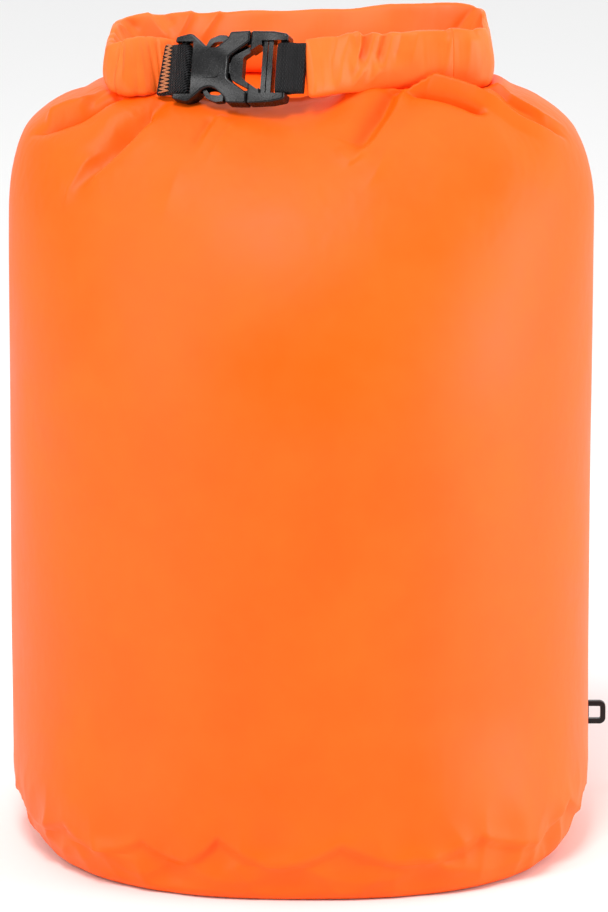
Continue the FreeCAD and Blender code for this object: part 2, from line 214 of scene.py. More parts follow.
def crease(u, h, points, height, left, right, sharp=1.3, ends=(0.25, 0.25)):
    """One fold along a line of points: height at the line, half widths to its two sides.

    Left and right are as seen when walking from the first point to the last. The height is one
    number, or a list of heights spread evenly from the first point to the last. Without a
    sharpness the fold is a plain tent.
    """
    points = np.array(points, float)
    steps = np.linalg.norm(np.diff(points, axis=0), axis=1)
    total = steps.sum()
    best = np.full(u.shape, 1e9)
    side = np.zeros(u.shape)        # 1 fully to the left of the line, -1 to its right
    share = np.zeros(u.shape)
    walked = 0.0
    for start, step, length in zip(points[:-1], np.diff(points, axis=0), steps):
        du, dh = u - start[0], h - start[1]
        t = np.clip((du * step[0] + dh * step[1]) / length ** 2, 0, 1)
        gap = np.hypot(du - t * step[0], dh - t * step[1])
        near = gap < best
        best = np.where(near, gap, best)
        lean = (step[0] * dh - step[1] * du) / (length * np.maximum(gap, 1e-6))
        side = np.where(near, np.clip(lean, -1, 1), side)
        share = np.where(near, (walked + t * length) / total, share)
        walked += length
    width = right + (left - right) * smoothstep(0.5 + 0.5 * side)
    rise = np.ones(u.shape)
    if isinstance(height, (list, tuple)):
        rise = np.interp(share, np.linspace(0, 1, len(height)), height)
        height = 1.0
    if ends[0]:
        rise = rise * smoothstep(share / ends[0])
    if ends[1]:
        rise = rise * smoothstep((1 - share) / ends[1])
    if sharp is None:
        return height * rise * np.clip(1 - best / width, 0, 1)
    return height * rise * np.exp(-(best / width) ** sharp)


# ---------------------------------------------------------------- bag surface

COLUMNS = 720
MOUTH_X = 72.0            # half length of the narrowed mouth, under the roll
MOUTH_Y = 27.0
MOUTH_SHIFT = -2.0
MOUTH_POWER = 3.2
MOUTH_Z = 288.5
SLOPE_FROM = 150.0        # rows are even below this height and closer above it
ROWS_LOW = 90
ROWS_HIGH = 210
SLOPE_RUN = 185.0
SIDE_TURN_Z = 239.0       # where the wall leaves the upright at the two sides
FRONT_TURN_Z = 170.0      # and at the front and back
H_TOP = SLOPE_FROM - SEAM_Z + SLOPE_RUN
BASE_CORNER = 7.0         # how far the base turns in below its seam at the front
SIDE_CORNER = 15.0        # and at the two sides


def column_turns():
    return -math.pi / 2 + 2 * math.pi * np.arange(COLUMNS) / COLUMNS


def around(turn):
    """Distance round the tube from the middle of the front, to the right positive."""
    u = (turn + math.pi / 2) % (2 * math.pi)
    return np.where(u > math.pi, u - 2 * math.pi, u) * BAG_R


def from_lash(turn):
    """Distance round the tube from the middle of the lash patch, without a sign."""
    return np.abs((turn - LASH_TURN + math.pi) % (2 * math.pi) - math.pi) * BAG_R


def signed_power(value, power):
    return np.sign(value) * np.abs(value) ** power


def smooth_wall(turn, h):
    """The filled tube without its creases: h is the way up the fabric from the base seam."""
    c, s = np.cos(turn), np.sin(turn)
    mouth_x = MOUTH_X * signed_power(c, 2 / MOUTH_POWER)
    mouth_y = MOUTH_SHIFT + MOUTH_Y * signed_power(s, 2 / MOUTH_POWER)
    run = np.clip((h - (SLOPE_FROM - SEAM_Z)) / SLOPE_RUN, 0, 1)
    z = np.where(run > 0, SLOPE_FROM + (MOUTH_Z - SLOPE_FROM) * np.sin(run * math.pi / 2), SEAM_Z + h)
    side = np.clip((z - SIDE_TURN_Z) / (MOUTH_Z - SIDE_TURN_Z), 0, 1)
    front = np.clip((z - FRONT_TURN_Z) / (MOUTH_Z - FRONT_TURN_Z), 0, 1)
    round_x = 2.25 - 0.15 * np.sign(c) * smoothstep(np.abs(c) / 0.3)
    keep_x = (1 - side ** round_x) ** (1 / round_x)
    keep_y = (1 - front ** 2.0) ** (1 / 1.5)
    low = 1 - smoothstep(z / 70.0)
    clear = smoothstep((from_lash(turn) - 14) / 26.0)
    corner = np.where(c > 0, 0.092, 0.064) * clear * np.sin(2 * turn) ** 2
    square = (1 + low * corner) * (1 - 0.04 * c * c * (1 - smoothstep(z / 30.0)))
    x = mouth_x + (BAG_R * c * square - mouth_x) * keep_x
    y = mouth_y + (BAG_R * s * square - mouth_y) * keep_y
    sag = smoothstep((y - 4) / 30.0) * smoothstep((np.abs(x) - 48) / 26.0) * smoothstep((z - 250) / 28.0)
    droop = smoothstep((np.abs(x) - 68) / 14.0) * smoothstep((z - 268) / 16.0)
    tucked = 1 - smoothstep((run - 0.93) / 0.07)
    z = z - (np.where(x < 0, 6.5, 5.0) * sag + 2.6 * droop) * tucked
    return np.stack(np.broadcast_arrays(x, y, z), -1)


SHOULDER_CREASES = (      # path up the fabric, height, half widths left and right, sharpness, ends
    # left: a puffed ridge over a sharp fold that runs out to the side
    ([(-146, 276), (-134, 292), (-116, 304)], 2.6, 12, 8, 1.8),
    ([(-97, 306), (-113, 286), (-134, 269), (-152, 259)], -4.2, 3.0, 5.5, 1.1, (0, 0.5)),
    # left front: the deep valley under the end of the roll, with a crisp right edge
    ([(-60, 312), (-66, 286), (-79, 263), (-90, 247), (-97, 238)],
     (-0.5, -4.5, -6.5, -4.5, 0), 5.0, 10.0, 1.5, (0, 0)),
    ([(-57, 296), (-70, 268), (-83, 250), (-93, 238)], 2.1, 6.0, 1.7, 1.0, (0.3, 0.2)),
    ([(-86, 266), (-94, 253), (-99, 238), (-103, 226)], 1.3, 3.0, 4.0, 1.2, (0.3, 0.4)),
    # under the buckle: two thin tension ridges
    ([(-27, 296), (-35, 274), (-41, 258)], 1.1, 3.0, 1.6, 1.0, (0.15, 0.5)),
    ([(-31, 294), (-38, 276), (-43, 262)], -1.0, 2.0, 3.0, 1.2, (0.2, 0.5)),
    ([(-22, 290), (-31, 268), (-37, 254)], 0.9, 3.0, 1.8, 1.0, (0.2, 0.5)),
    ([(-44, 262), (-50, 240), (-54, 222)], 0.6, 4.0, 5.0, 1.3, (0.4, 0.5)),
    # right front: a valley that ends in a V, its right edge a crisp ridge
    ([(37, 322), (29, 290), (21, 268), (16, 260)], -4.6, 5.0, 7.5, 1.5, (0, 0.25)),
    ([(43, 318), (35, 290), (27, 272), (18, 257)], 2.0, 1.8, 6.5, 1.0, (0.1, 0.12)),
    ([(11, 268), (14, 261), (18, 257)], 0.8, 3.0, 1.6, 1.0, (0.4, 0.1)),
    ([(33, 268), (28, 254), (22, 243)], 0.8, 3.0, 4.5, 1.2, (0.4, 0.5)),
    # right: dark folds above and below the ridge of spare fabric
    ([(96, 303), (114, 287), (130, 271), (143, 257)], -3.4, 6.0, 3.0, 1.2, (0.3, 0.4)),
    ([(41, 313), (54, 312), (66, 305), (75, 297), (83, 289), (89, 283)],
     (-1.0, -3.6, -3.4, -3.4, -4.2, -2.5), 1.6, 3.4, 1.2, (0.2, 0.15)),
    ([(138, 322), (126, 303), (136, 280), (152, 262)], 1.6, 4.0, 4.0, 1.1, (0, 0.4)),
    ([(128, 322), (120, 300), (133, 274)], -1.4, 3.0, 3.0, 1.1, (0, 0.4)),
)


def shoulder_folds(u, h):
    """Height of the folds that the closure pulls into the shoulders."""
    u, h = np.broadcast_arrays(u, h)
    total = sum(crease(u, h, *fold) for fold in SHOULDER_CREASES)
    return total * settings().crease_depth


def loose_flap(u, h):
    """Spare fabric pinched up in front of the roll's right bend, running down to the side."""
    u, h = np.broadcast_arrays(u, h)
    line = [(62, 319), (79, 308), (99, 293), (118, 274), (138, 257)]
    ridge = crease(u, h, line, (8.0, 5.6, 4.4, 3.2, 2.0, 0.0), 3.2, 10.0, None, (0, 0))
    left_face = crease(u, h, [(37, 315), (62, 319)], (0.5, 8.0), 2.4, 4.5, None, (0, 0))
    return np.maximum(ridge, left_face)


def back_folds(u, h):
    """Folds of the back and sides, fanned out from the ends of the roll."""
    back = np.where(u > 0, u - math.pi * BAG_R, u + math.pi * BAG_R)
    total = np.zeros(back.shape)
    fan = [(-128, 150, -4.5), (-96, 104, -3.0), (-70, 60, -2.4), (-34, 26, 1.4),
           (22, 30, -1.6), (58, 70, -3.0), (92, 108, 2.2), (124, 148, -4.0)]
    for start, end, depth in fan:
        middle = (start + end) / 2
        length = 58 + 9 * math.cos(start)
        line = [(start, 322), (middle, 322 - 0.55 * length), (end, 322 - length)]
        total += crease(back, h, line, depth, 7, 4, 1.3, (0, 0.5))
        total += crease(back, h, [(x + 5, y) for x, y in line], -0.45 * depth, 3, 6, 1.1, (0, 0.5))
    return total * settings().crease_depth


def seam_line(u):
    """Height of the scalloped fold above the base seam, all round the bag."""
    peaks = np.array([-338, -289, -243, -196, -146, -98, -60, -31, 15, 67, 118, 166, 214, 262, 310, 353])
    tops = np.array([21, 23, 20, 23, 22, 20, 21, 25, 23, 22, 24, 20, 23, 21, 23, 21], float)
    k = np.clip(np.searchsorted(peaks, u) - 1, 0, len(peaks) - 2)
    t = np.clip((u - peaks[k]) / (peaks[k + 1] - peaks[k]), 0, 1)
    top = tops[k] * (1 - t) + tops[k + 1] * t
    return 14.5 + (top - 14.5) * np.abs(2 * t - 1) ** 1.7


def base_ripple(u, z):
    """Step in under the scalloped fold, and the small facets below it."""
    depth = settings().ripple_depth / MM
    u, z = np.broadcast_arrays(u, z)
    under = seam_line(u) - z
    fade = smoothstep(z / 7.0)
    step = -depth * smoothstep(under / 4.0 + 0.2) * fade
    lip = 0.3 * depth * np.exp(-(np.abs(under) / 2.6) ** 1.3)
    second = seam_line(u + 17.0) - 7.5 - z
    swell = 0.35 * depth * np.exp(-(np.abs(second) / 2.6) ** 1.4) * fade
    facets = 0.62 * depth * creased(u, z, 26.0, 30.0, 5) * np.exp(-((z - 12) / 14.0) ** 2)
    total = step + lip + swell + facets
    for line, height in (([(-26, 16), (-20, 9), (-17, 1)], 0.9), ([(-82, 16), (-76, 11), (-70, 2)], 0.8),
                         ([(-34, 38), (-25, 44), (-15, 50)], 0.35), ([(44, 15), (52, 12), (60, 11)], 0.5),
                         ([(96, 15), (104, 9), (108, 2)], 0.8), ([(-150, 15), (-143, 9), (-139, 2)], 0.9)):
        total = total + crease(u, z, line, height, 1.6, 6.0, 1.1, (0.2, 0.2))
    return total


def wall_relief(turn, h, z):
    """All the shape that the filled tube has beyond the smooth one."""
    u = around(turn)
    u, h, z = np.broadcast_arrays(u, h, z)
    c, s = np.cos(turn), np.sin(turn)
    loose = smoothstep((z - 225) / 50.0)
    low = np.exp(-((z - 20) / 40.0) ** 2)
    soft = 0.55 * waves(c * BAG_R, z + 60 * s, 110, 190, 11) * (0.4 + 0.6 * loose)
    mid = 0.22 * waves(c * BAG_R + 40 * s, z - 70 * s, 34, 60, 12)
    mid = mid * (0.2 + 0.8 * np.maximum(loose, 0.5 * low))
    fine = 0.05 * creased(u, h, 9.0, 16.0, 13) * (0.25 + 0.75 * np.maximum(loose, 0.5 * low))
    away = 1 - np.exp(-(from_lash(turn) / 16) ** 4 - ((z - LASH_Z) / 20) ** 4)
    relief = soft + mid + fine + base_ripple(u, z)
    relief = relief * away
    front = np.abs(u) < 0.5 * math.pi * BAG_R + 12
    relief = relief + np.where(front, shoulder_folds(u, h), 0) + np.where(front, 0, back_folds(u, h))
    relief = relief + 0.35 * np.exp(-(from_lash(turn) / 2.2) ** 4) * away * (1 - loose)
    return relief


def front_gap(x):
    """1 between the two ends of the roll, where only the buckle closes the loop."""
    return smoothstep((x + 56) / 7.0) * smoothstep((6 - x) / 7.0)


def wall_grid():
    """Points of the wall from the base seam up to the mouth, then down inside the loop."""
    turn = column_turns()[None, :]
    low = np.linspace(0, SLOPE_FROM - SEAM_Z, ROWS_LOW, endpoint=False)
    high = np.linspace(SLOPE_FROM - SEAM_Z, H_TOP, ROWS_HIGH)
    h = np.concatenate([low, high])[:, None]
    grid = smooth_wall(turn, h)
    lift = smoothstep((grid[..., 2] - 268) / 18.0) * (grid[..., 1] < 0)
    grid[..., 2] -= 1.5 * front_gap(grid[..., 0]) * lift
    normals = grid_normals(grid)
    relief = wall_relief(turn, h, grid[..., 2])
    at_mouth = 1 - smoothstep((h - H_TOP + 7) / 7.0)
    u, up = np.broadcast_arrays(around(turn), h)
    rest = crease(u, up, [(4, 316), (22, 314), (44, 314)], 3.8, 16, 16, 2.0)    # under the right arm
    relief = (relief + rest) * at_mouth + 0.6 * rest * (1 - at_mouth)
    relief = relief + loose_flap(around(turn), h) * smoothstep((H_TOP + 2 - h) / 5.0)
    grid = grid + normals * relief[..., None]
    rim = grid[-1]
    inside = []
    for step in np.linspace(0, 1, 18)[1:]:
        ring = rim.copy()
        ring[:, 0] = rim[:, 0] * (1 - 0.25 * step)
        ring[:, 1] = MOUTH_SHIFT + (rim[:, 1] - MOUTH_SHIFT) * (1 - step)
        floor = MOUTH_Z - 7.0 - 2.0 * front_gap(ring[:, 0])
        pleat = creased(rim[:, 0] + 0.5 * ring[:, 1], ring[:, 1] * 0.2, 11.0, 30.0, 21)
        ring[:, 2] = rim[:, 2] + (floor - rim[:, 2]) * math.sin(step * math.pi / 2)
        ring[:, 2] += 1.1 * pleat * math.sin(math.pi * step)
        inside.append(ring)
    return np.concatenate([grid, np.array(inside)])


def base_grid():
    """Points of the base panel, from the seam round the corner to the middle of the floor."""
    turn = column_turns()[None, :]
    corner = BASE_CORNER + (SIDE_CORNER - BASE_CORNER) * np.abs(np.cos(turn)) ** 2.5
    floor_r = BAG_R - float(corner.mean())
    rows = []
    for a in np.linspace(0, math.pi / 2, 18, endpoint=False):
        r = 1 - corner * (1 - math.cos(a)) / BAG_R
        rows.append((r, np.full_like(turn, SEAM_Z * (1 - math.sin(a))), math.cos(a)))
    for r in np.linspace(1.0, 0.02, 40):
        rows.append(((1 - corner / BAG_R) * r, np.zeros_like(turn), 0.0))
    seam = wall_grid()[0]
    smooth = smooth_wall(turn, np.zeros_like(turn))[0]
    extra = np.linalg.norm(seam[:, :2], axis=1) - np.linalg.norm(smooth[:, :2], axis=1)
    extra = extra - base_ripple(around(turn), SEAM_Z)[0]
    grid = []
    u = around(turn)
    for scale, z, upright in rows:
        point = smooth_wall(turn, z - SEAM_Z)
        point[..., :2] *= scale[..., None]
        point[..., 2] = z
        out = np.stack([np.cos(turn), np.sin(turn), np.zeros_like(turn)], -1)
        relief = (base_ripple(u, z) + extra * smoothstep(z / SEAM_Z)) * upright
        point += out * relief[..., None]
        if not upright:
            r = float(scale.mean()) * BAG_R
            ring = 1 - (r / floor_r) ** 6
            pucker = 0.8 * creased(u, np.full_like(u, r), 16.0, 60.0, 31) * (r / floor_r) ** 3
            dome = 2.2 * ring + np.maximum(pucker, 0) * ring
            dome = dome + 0.5 * np.abs(waves(point[..., 0], point[..., 1], 60, 60, 32)) * ring
            point[..., 2] = dome
        grid.append(point[0])
    grid[0] = seam
    return np.array(grid)


# ---------------------------------------------------------------- roll

RING = [  # centreline of the closed roll in plan: x, y, radius of the bend
    (-45.5, -20.6, 0.0),
    (-54.0, -21.8, 16.0),
    (-62.0, -25.6, 12.0),
    (-69.0, -23.5, 6.0),
    (-67.5, 24.0, 14.0),
    (66.5, 25.0, 14.0),
    (68.2, -14.0, 11.0),
    (24.0, -29.0, 45.0),
    (0.9, -42.9, 0.0),
]
SECTION = 72              # points round the roll
ROLL_STEP = 0.55          # distance between its sections
MOVING_ARM = 60.0         # length at its right end, made as a separate piece


def rounded_path(corners, step):
    """Even points along straight runs joined by tangent arcs, in plan."""
    points = [np.array(corners[0][:2])]
    for before, here, after in zip(corners[:-2], corners[1:-1], corners[2:]):
        p = np.array(here[:2])
        a = np.array(before[:2]) - p
        b = np.array(after[:2]) - p
        a /= np.linalg.norm(a)
        b /= np.linalg.norm(b)
        half = math.acos(np.clip(a @ b, -1, 1)) / 2
        reach = here[2] / math.tan(half)
        start, end = p + a * reach, p + b * reach
        control = p
        for t in np.linspace(0, 1, 24):
            points.append((1 - t) ** 2 * start + 2 * t * (1 - t) * control + t * t * end)
    points.append(np.array(corners[-1][:2]))
    points = np.array(points)
    gaps = np.linalg.norm(np.diff(points, axis=0), axis=1)
    walked = np.concatenate([[0], np.cumsum(gaps)])
    even = np.linspace(0, walked[-1], int(walked[-1] / step) + 1)
    path = np.stack([np.interp(even, walked, points[:, i]) for i in (0, 1)], -1)
    kernel = np.hanning(15)
    kernel /= kernel.sum()
    padded = np.pad(path, ((7, 7), (0, 0)), mode="reflect", reflect_type="odd")
    path = np.stack([np.convolve(padded[:, i], kernel, mode="valid") for i in (0, 1)], -1)
    return path, even


def along(s, keys):
    """A value that eases through (place, value) pairs along the roll."""
    places = np.array([k[0] for k in keys], float)
    values = np.array([k[1] for k in keys], float)
    k = np.clip(np.searchsorted(places, s) - 1, 0, len(places) - 2)
    t = smoothstep((s - places[k]) / (places[k + 1] - places[k]))
    return values[k] * (1 - t) + values[k + 1] * t


def roll_frame():
    """Path, its outward normals, and the roll's height, thickness and lean along it."""
    path, s = rounded_path(RING, ROLL_STEP)
    tangent = np.gradient(path, axis=0)
    tangent /= np.linalg.norm(tangent, axis=1, keepdims=True)
    outward = np.stack([-tangent[:, 1], tangent[:, 0]], -1)
    total = s[-1]
    back = total * 0.5
    bottom = along(s, [(0, 287.0), (14, 287.3), (26, 288.3), (70, 287.5), (back, 287.0),
                       (total - 70, 287.5), (total - 30, 289.4), (total, 290.2)])
    top = along(s, [(0, 307.0), (14, 308.4), (24, 307.6), (36, 305.6), (50, 307.0), (74, 309.0),
                    (back, 311.2), (total - 125, 313.0), (total - 100, 313.4), (total - 84, 310.5),
                    (total - 62, 311.2), (total - 24, 311.0), (total, 311.6)])
    thick = along(s, [(0, 2.6), (10, 3.4), (22, 8.0), (40, 9.2), (total - 60, 9.2), (total - 14, 7.6),
                      (total, 5.0)])
    lean = along(s, [(0, 24), (12, 22), (26, 4), (34, -10), (50, -12), (80, -13), (total - 120, -13),
                     (total - 84, -4), (total - 60, -3), (total - 34, -4), (total - 14, 17), (total, 24)])
    return path, s, outward, bottom, top, thick, np.radians(lean)


def roll_relief(s, e, outer, total):
    """Wrinkles of the roll: s along it, e up from its middle, outer is 1 on its outer face."""
    fine = settings().wrinkle_depth / MM
    from_end = total - s
    grain = fine * (0.3 * creased(s, e, 2.4, 60, 41) + 0.5 * creased(s, e, 6.0, 40, 42))
    arm = 1 - smoothstep((s - 30) / 14.0)
    relief = grain * (0.25 + 0.9 * arm) * (0.3 + 0.7 * outer)
    relief = relief + 0.3 * waves(s, e, 30, 22, 43)
    # pleats of the right arm, slanted
    pleats = (
        ([(21, 12), (14, 0), (11, -12)], 1.3, 2.4, 3.4),
        ([(17.5, 12), (10, 0), (8.5, -11)], -1.0, 2.4, 2.0),
        ([(24, 12), (22.5, 4), (17, -5)], 1.7, 1.4, 1.6),
        ([(27, 13), (25.2, 6), (21, -1)], -2.8, 1.0, 2.2),
        ([(30, 12), (26, 2), (17, -10)], 1.6, 1.3, 2.4),
        ([(34, 12), (32.5, 6), (30, -1)], -2.6, 1.1, 2.2),
        ([(37, 12), (33, 1), (24, -9)], 1.5, 1.3, 2.8),
        ([(41, 12), (37, 0)], -1.0, 1.3, 2.6),
        ([(47, 12), (42, -3)], 0.7, 1.8, 3.4),
        ([(60, 12), (57, -2), (55, -10)], 0.8, 1.5, 2.5),
    )
    mirrored = -from_end
    for line, height, left, right in pleats:
        path = [(-x, y) for x, y in line]
        relief = relief + outer * crease(mirrored, e, path, height, left, right, 1.2, (0.0, 0.3))
    # end hems of the left arm
    for place in (7.0, 10.0):
        relief = relief - outer * 0.45 * np.exp(-((s - place - 0.05 * e) / 0.55) ** 2)
    # spare fabric pushed into folds over the inside of the two bends
    inner = 1 - outer
    for place, slant, depth in ((22, 2, -1.4), (29, 4, -2.6), (37, 3, -2.2), (46, -2, -3.0), (57, -6, -3.6),
                                (66, -3, -1.2)):
        gather = crease(s, e, [(place, 15), (place + slant, -2)], depth, 1.2, 3.2, 1.1, (0, 0.5))
        relief = relief + gather * np.maximum(inner, 0.5 * smoothstep((e - 7) / 3.0))
    for place, slant, depth in ((58, 3, -1.4), (68, 5, -2.4), (79, 5, -3.0), (92, 9, -3.4), (105, 12, -1.6)):
        gather = crease(mirrored, e, [(-place, 15), (-place - slant, -4)], depth, 3.4, 1.3, 1.1, (0, 0.5))
        relief = relief + gather * np.maximum(inner, 0.45 * smoothstep((e - 7) / 3.0))
    for line, height in (([(78, 13), (85, 4), (93, -4)], 1.6), ([(84, 13), (90, 6)], -1.5),
                         ([(97, 13), (92, 3), (88, -6)], 1.4), ([(108, 13), (101, 3), (97, -5)], 1.3),
                         ([(62, 13), (70, 2), (74, -5)], 1.4), ([(69, 13), (76, 4)], -1.6)):
        relief = relief + inner * crease(s, e, line, height, 1.2, 3.6, 1.1, (0, 0.4))
    hollow = crease(mirrored, e, [(-100, 2), (-88, 8), (-76, 11.5)], -3.6, 3.0, 2.0, 1.2, (0.3, 0.3))
    relief = relief + hollow * inner
    # bends: short upright creases outside
    for place, height in ((22, 0.7), (26, -0.9), (31, 0.6), (total - 66, 0.5), (total - 72, -0.6)):
        relief = relief + outer * crease(s, e, [(place - 1.5, 13), (place + 1, -9)], height, 1.6, 2.2, 1.2)
    return relief


def roll_grid(first, last, swell=0.0, round_start=True, round_end=True):
    """Sections of the roll from one place along it to another."""
    path, s, outward, bottom, top, thick, lean = roll_frame()
    total = s[-1]
    keep = (s >= first - 1e-6) & (s <= last + 1e-6)
    psi = 2 * math.pi * np.arange(SECTION) / SECTION
    c, n = np.cos(psi), np.sin(psi)
    flat_out = signed_power(c, 2 / 3.4)
    flat_up = signed_power(n, 2 / 3.0)
    half_t = (thick[keep] / 2 + swell)[:, None]
    half_h = ((top - bottom)[keep] / 2 + swell)[:, None]
    ends = np.ones(keep.sum())
    reach = s[keep]
    if round_start:
        ends = ends * np.sqrt(np.clip(1 - (1 - (reach - first) / 2.0).clip(0, 1) ** 2, 0.02, 1))
    if round_end:
        ends = ends * np.sqrt(np.clip(1 - (1 - (last - reach) / 1.6).clip(0, 1) ** 2, 0.02, 1))
    half_t = half_t * ends[:, None]
    half_h = half_h * (0.9 + 0.1 * ends[:, None])
    outer = smoothstep(0.5 + 0.9 * c)[None, :]
    place = reach[:, None]
    e = half_h * flat_up[None, :]
    relief = roll_relief(np.broadcast_to(place, e.shape), e, np.broadcast_to(outer, e.shape), total)
    narrow = 1 - 0.42 * smoothstep((e / half_h + 0.3) / 1.3)
    deepest = 0.8 * half_t * narrow
    relief = np.where(relief < 0, -deepest * np.tanh(-relief / deepest), relief)
    size = np.hypot(half_h * c, half_t * n) + 1e-6
    push_out = half_h * c / size
    push_up = half_t * n / size
    a = half_t * flat_out * narrow + relief * push_out * ends[:, None]
    b = e + relief * push_up * ends[:, None]
    tilt = lean[keep][:, None]
    out = a * np.cos(tilt) - b * np.sin(tilt)
    up = a * np.sin(tilt) + b * np.cos(tilt)
    middle = ((top + bottom) / 2)[keep][:, None]
    cut = 1.7 * (1 + e / half_h) * smoothstep((place - total + 16) / 12.0)
    x = path[keep][:, 0:1] + outward[keep][:, 0:1] * out - outward[keep][:, 1:2] * cut
    y = path[keep][:, 1:2] + outward[keep][:, 1:2] * out + outward[keep][:, 0:1] * cut
    return np.stack([x, y, middle + up], -1)[:, ::-1]


# ---------------------------------------------------------------- shader groups

def group_socket(tree, name, way, kind, default=None):
    socket = tree.interface.new_socket(name=name, in_out=way, socket_type=kind)
    if default is not None:
        socket.default_value = default
    return socket


def new_node(tree, kind, **values):
    node = tree.nodes.new(kind)
    for key, value in values.items():
        if hasattr(node, key):
            setattr(node, key, value)
        else:
            node.inputs[key].default_value = value
    return node


def math_node(tree, operation, a, b=None):
    node = new_node(tree, "ShaderNodeMath", operation=operation)
    for i, value in enumerate((a, b)):
        if value is None:
            continue
        if isinstance(value, (int, float)):
            node.inputs[i].default_value = value
        else:
            tree.links.new(value, node.inputs[i])
    return node.outputs[0]


def weave_group():
    """Plain weave of fine yarns: Height of the yarns, and a slow Mottle."""
    tree = bpy.data.node_groups.new("fabric_weave", "ShaderNodeTree")
    group_socket(tree, "Yarn Pitch", "INPUT", "NodeSocketFloat", 0.0004)
    group_socket(tree, "Mottle Size", "INPUT", "NodeSocketFloat", 0.03)
    group_socket(tree, "Height", "OUTPUT", "NodeSocketFloat")
    group_socket(tree, "Mottle", "OUTPUT", "NodeSocketFloat")
    start = new_node(tree, "NodeGroupInput")
    end = new_node(tree, "NodeGroupOutput")
    place = new_node(tree, "ShaderNodeTexCoord")
    split = new_node(tree, "ShaderNodeSeparateXYZ")
    tree.links.new(place.outputs["Object"], split.inputs[0])
    turn = math_node(tree, "ARCTAN2", split.outputs[1], split.outputs[0])
    round_way = math_node(tree, "MULTIPLY", turn, BAG_R * MM)
    heights = []
    for way, phase in ((round_way, 0.0), (split.outputs[2], math.pi / 2)):
        rate = math_node(tree, "DIVIDE", way, start.outputs["Yarn Pitch"])
        angle = math_node(tree, "MULTIPLY", rate, 2 * math.pi)
        shifted = math_node(tree, "ADD", angle, phase)
        heights.append(math_node(tree, "SINE", shifted))
    woven = math_node(tree, "MULTIPLY", heights[0], heights[1])
    noise = new_node(tree, "ShaderNodeTexNoise", Detail=3.0, Roughness=0.6)
    tree.links.new(place.outputs["Object"], noise.inputs["Vector"])
    scale = math_node(tree, "DIVIDE", 1.0, start.outputs["Mottle Size"])
    tree.links.new(scale, noise.inputs["Scale"])
    tree.links.new(woven, end.inputs["Height"])
    tree.links.new(noise.outputs[0], end.inputs["Mottle"])
    return tree


def grain_group():
    """Moulded or worn surface: fine Grain, and Wear along sharp edges."""
    tree = bpy.data.node_groups.new("surface_grain", "ShaderNodeTree")
    group_socket(tree, "Grain Size", "INPUT", "NodeSocketFloat", 0.0004)
    group_socket(tree, "Grain", "OUTPUT", "NodeSocketFloat")
    group_socket(tree, "Wear", "OUTPUT", "NodeSocketFloat")
    start = new_node(tree, "NodeGroupInput")
    end = new_node(tree, "NodeGroupOutput")
    place = new_node(tree, "ShaderNodeTexCoord")
    scale = math_node(tree, "DIVIDE", 1.0, start.outputs["Grain Size"])
    grain = new_node(tree, "ShaderNodeTexNoise", Detail=2.0)
    tree.links.new(place.outputs["Object"], grain.inputs["Vector"])
    tree.links.new(scale, grain.inputs["Scale"])
    shape = new_node(tree, "ShaderNodeNewGeometry")
    sharp = new_node(tree, "ShaderNodeMapRange")
    tree.links.new(shape.outputs["Pointiness"], sharp.inputs["Value"])
    sharp.inputs["From Min"].default_value = 0.56
    sharp.inputs["From Max"].default_value = 0.8
    patchy = new_node(tree, "ShaderNodeTexNoise", Scale=160.0, Detail=2.0)
    tree.links.new(place.outputs["Object"], patchy.inputs["Vector"])
    wear = math_node(tree, "MULTIPLY", sharp.outputs[0], patchy.outputs[0])
    tree.links.new(grain.outputs[0], end.inputs["Grain"])
    tree.links.new(wear, end.inputs["Wear"])
    return tree


def place_group(tree, name, make, **values):
    """A shared group in a material's tree, with this material's own values."""
    node = new_node(tree, "ShaderNodeGroup")
    node.node_tree = bpy.data.node_groups.get(name) or make()
    for key, value in values.items():
        node.inputs[key.replace("_", " ")].default_value = value
    return node


def start_material(name, roughness, **sockets):
    material = bpy.data.materials.new(name)
    material.use_nodes = True
    shader = material.node_tree.nodes["Principled BSDF"]
    shader.inputs["Roughness"].default_value = roughness
    for key, value in sockets.items():
        shader.inputs[key.replace("_", " ")].default_value = value
    return material, material.node_tree, shader


def colour_mix(tree, factor, low, high, target):
    mix = new_node(tree, "ShaderNodeMix", data_type="RGBA")
    tree.links.new(factor, mix.inputs[0])
    mix.inputs[6].default_value = low
    mix.inputs[7].default_value = high
    tree.links.new(mix.outputs[2], target)
    return mix


def range_node(tree, value, low, high, to_low, to_high):
    node = new_node(tree, "ShaderNodeMapRange")
    tree.links.new(value, node.inputs["Value"])
    for key, number in (("From Min", low), ("From Max", high), ("To Min", to_low), ("To Max", to_high)):
        node.inputs[key].default_value = number
    return node.outputs[0]


def bump(tree, height, distance, strength, shader):
    node = new_node(tree, "ShaderNodeBump", Strength=strength, Distance=distance)
    tree.links.new(height, node.inputs["Height"])
    tree.links.new(node.outputs[0], shader.inputs["Normal"])
    return node


def made_once(make):
    """A material is made the first time that a piece wears it."""
    def fetch(name, *values):
        return bpy.data.materials.get(name) or make(name, *values)
    return fetch


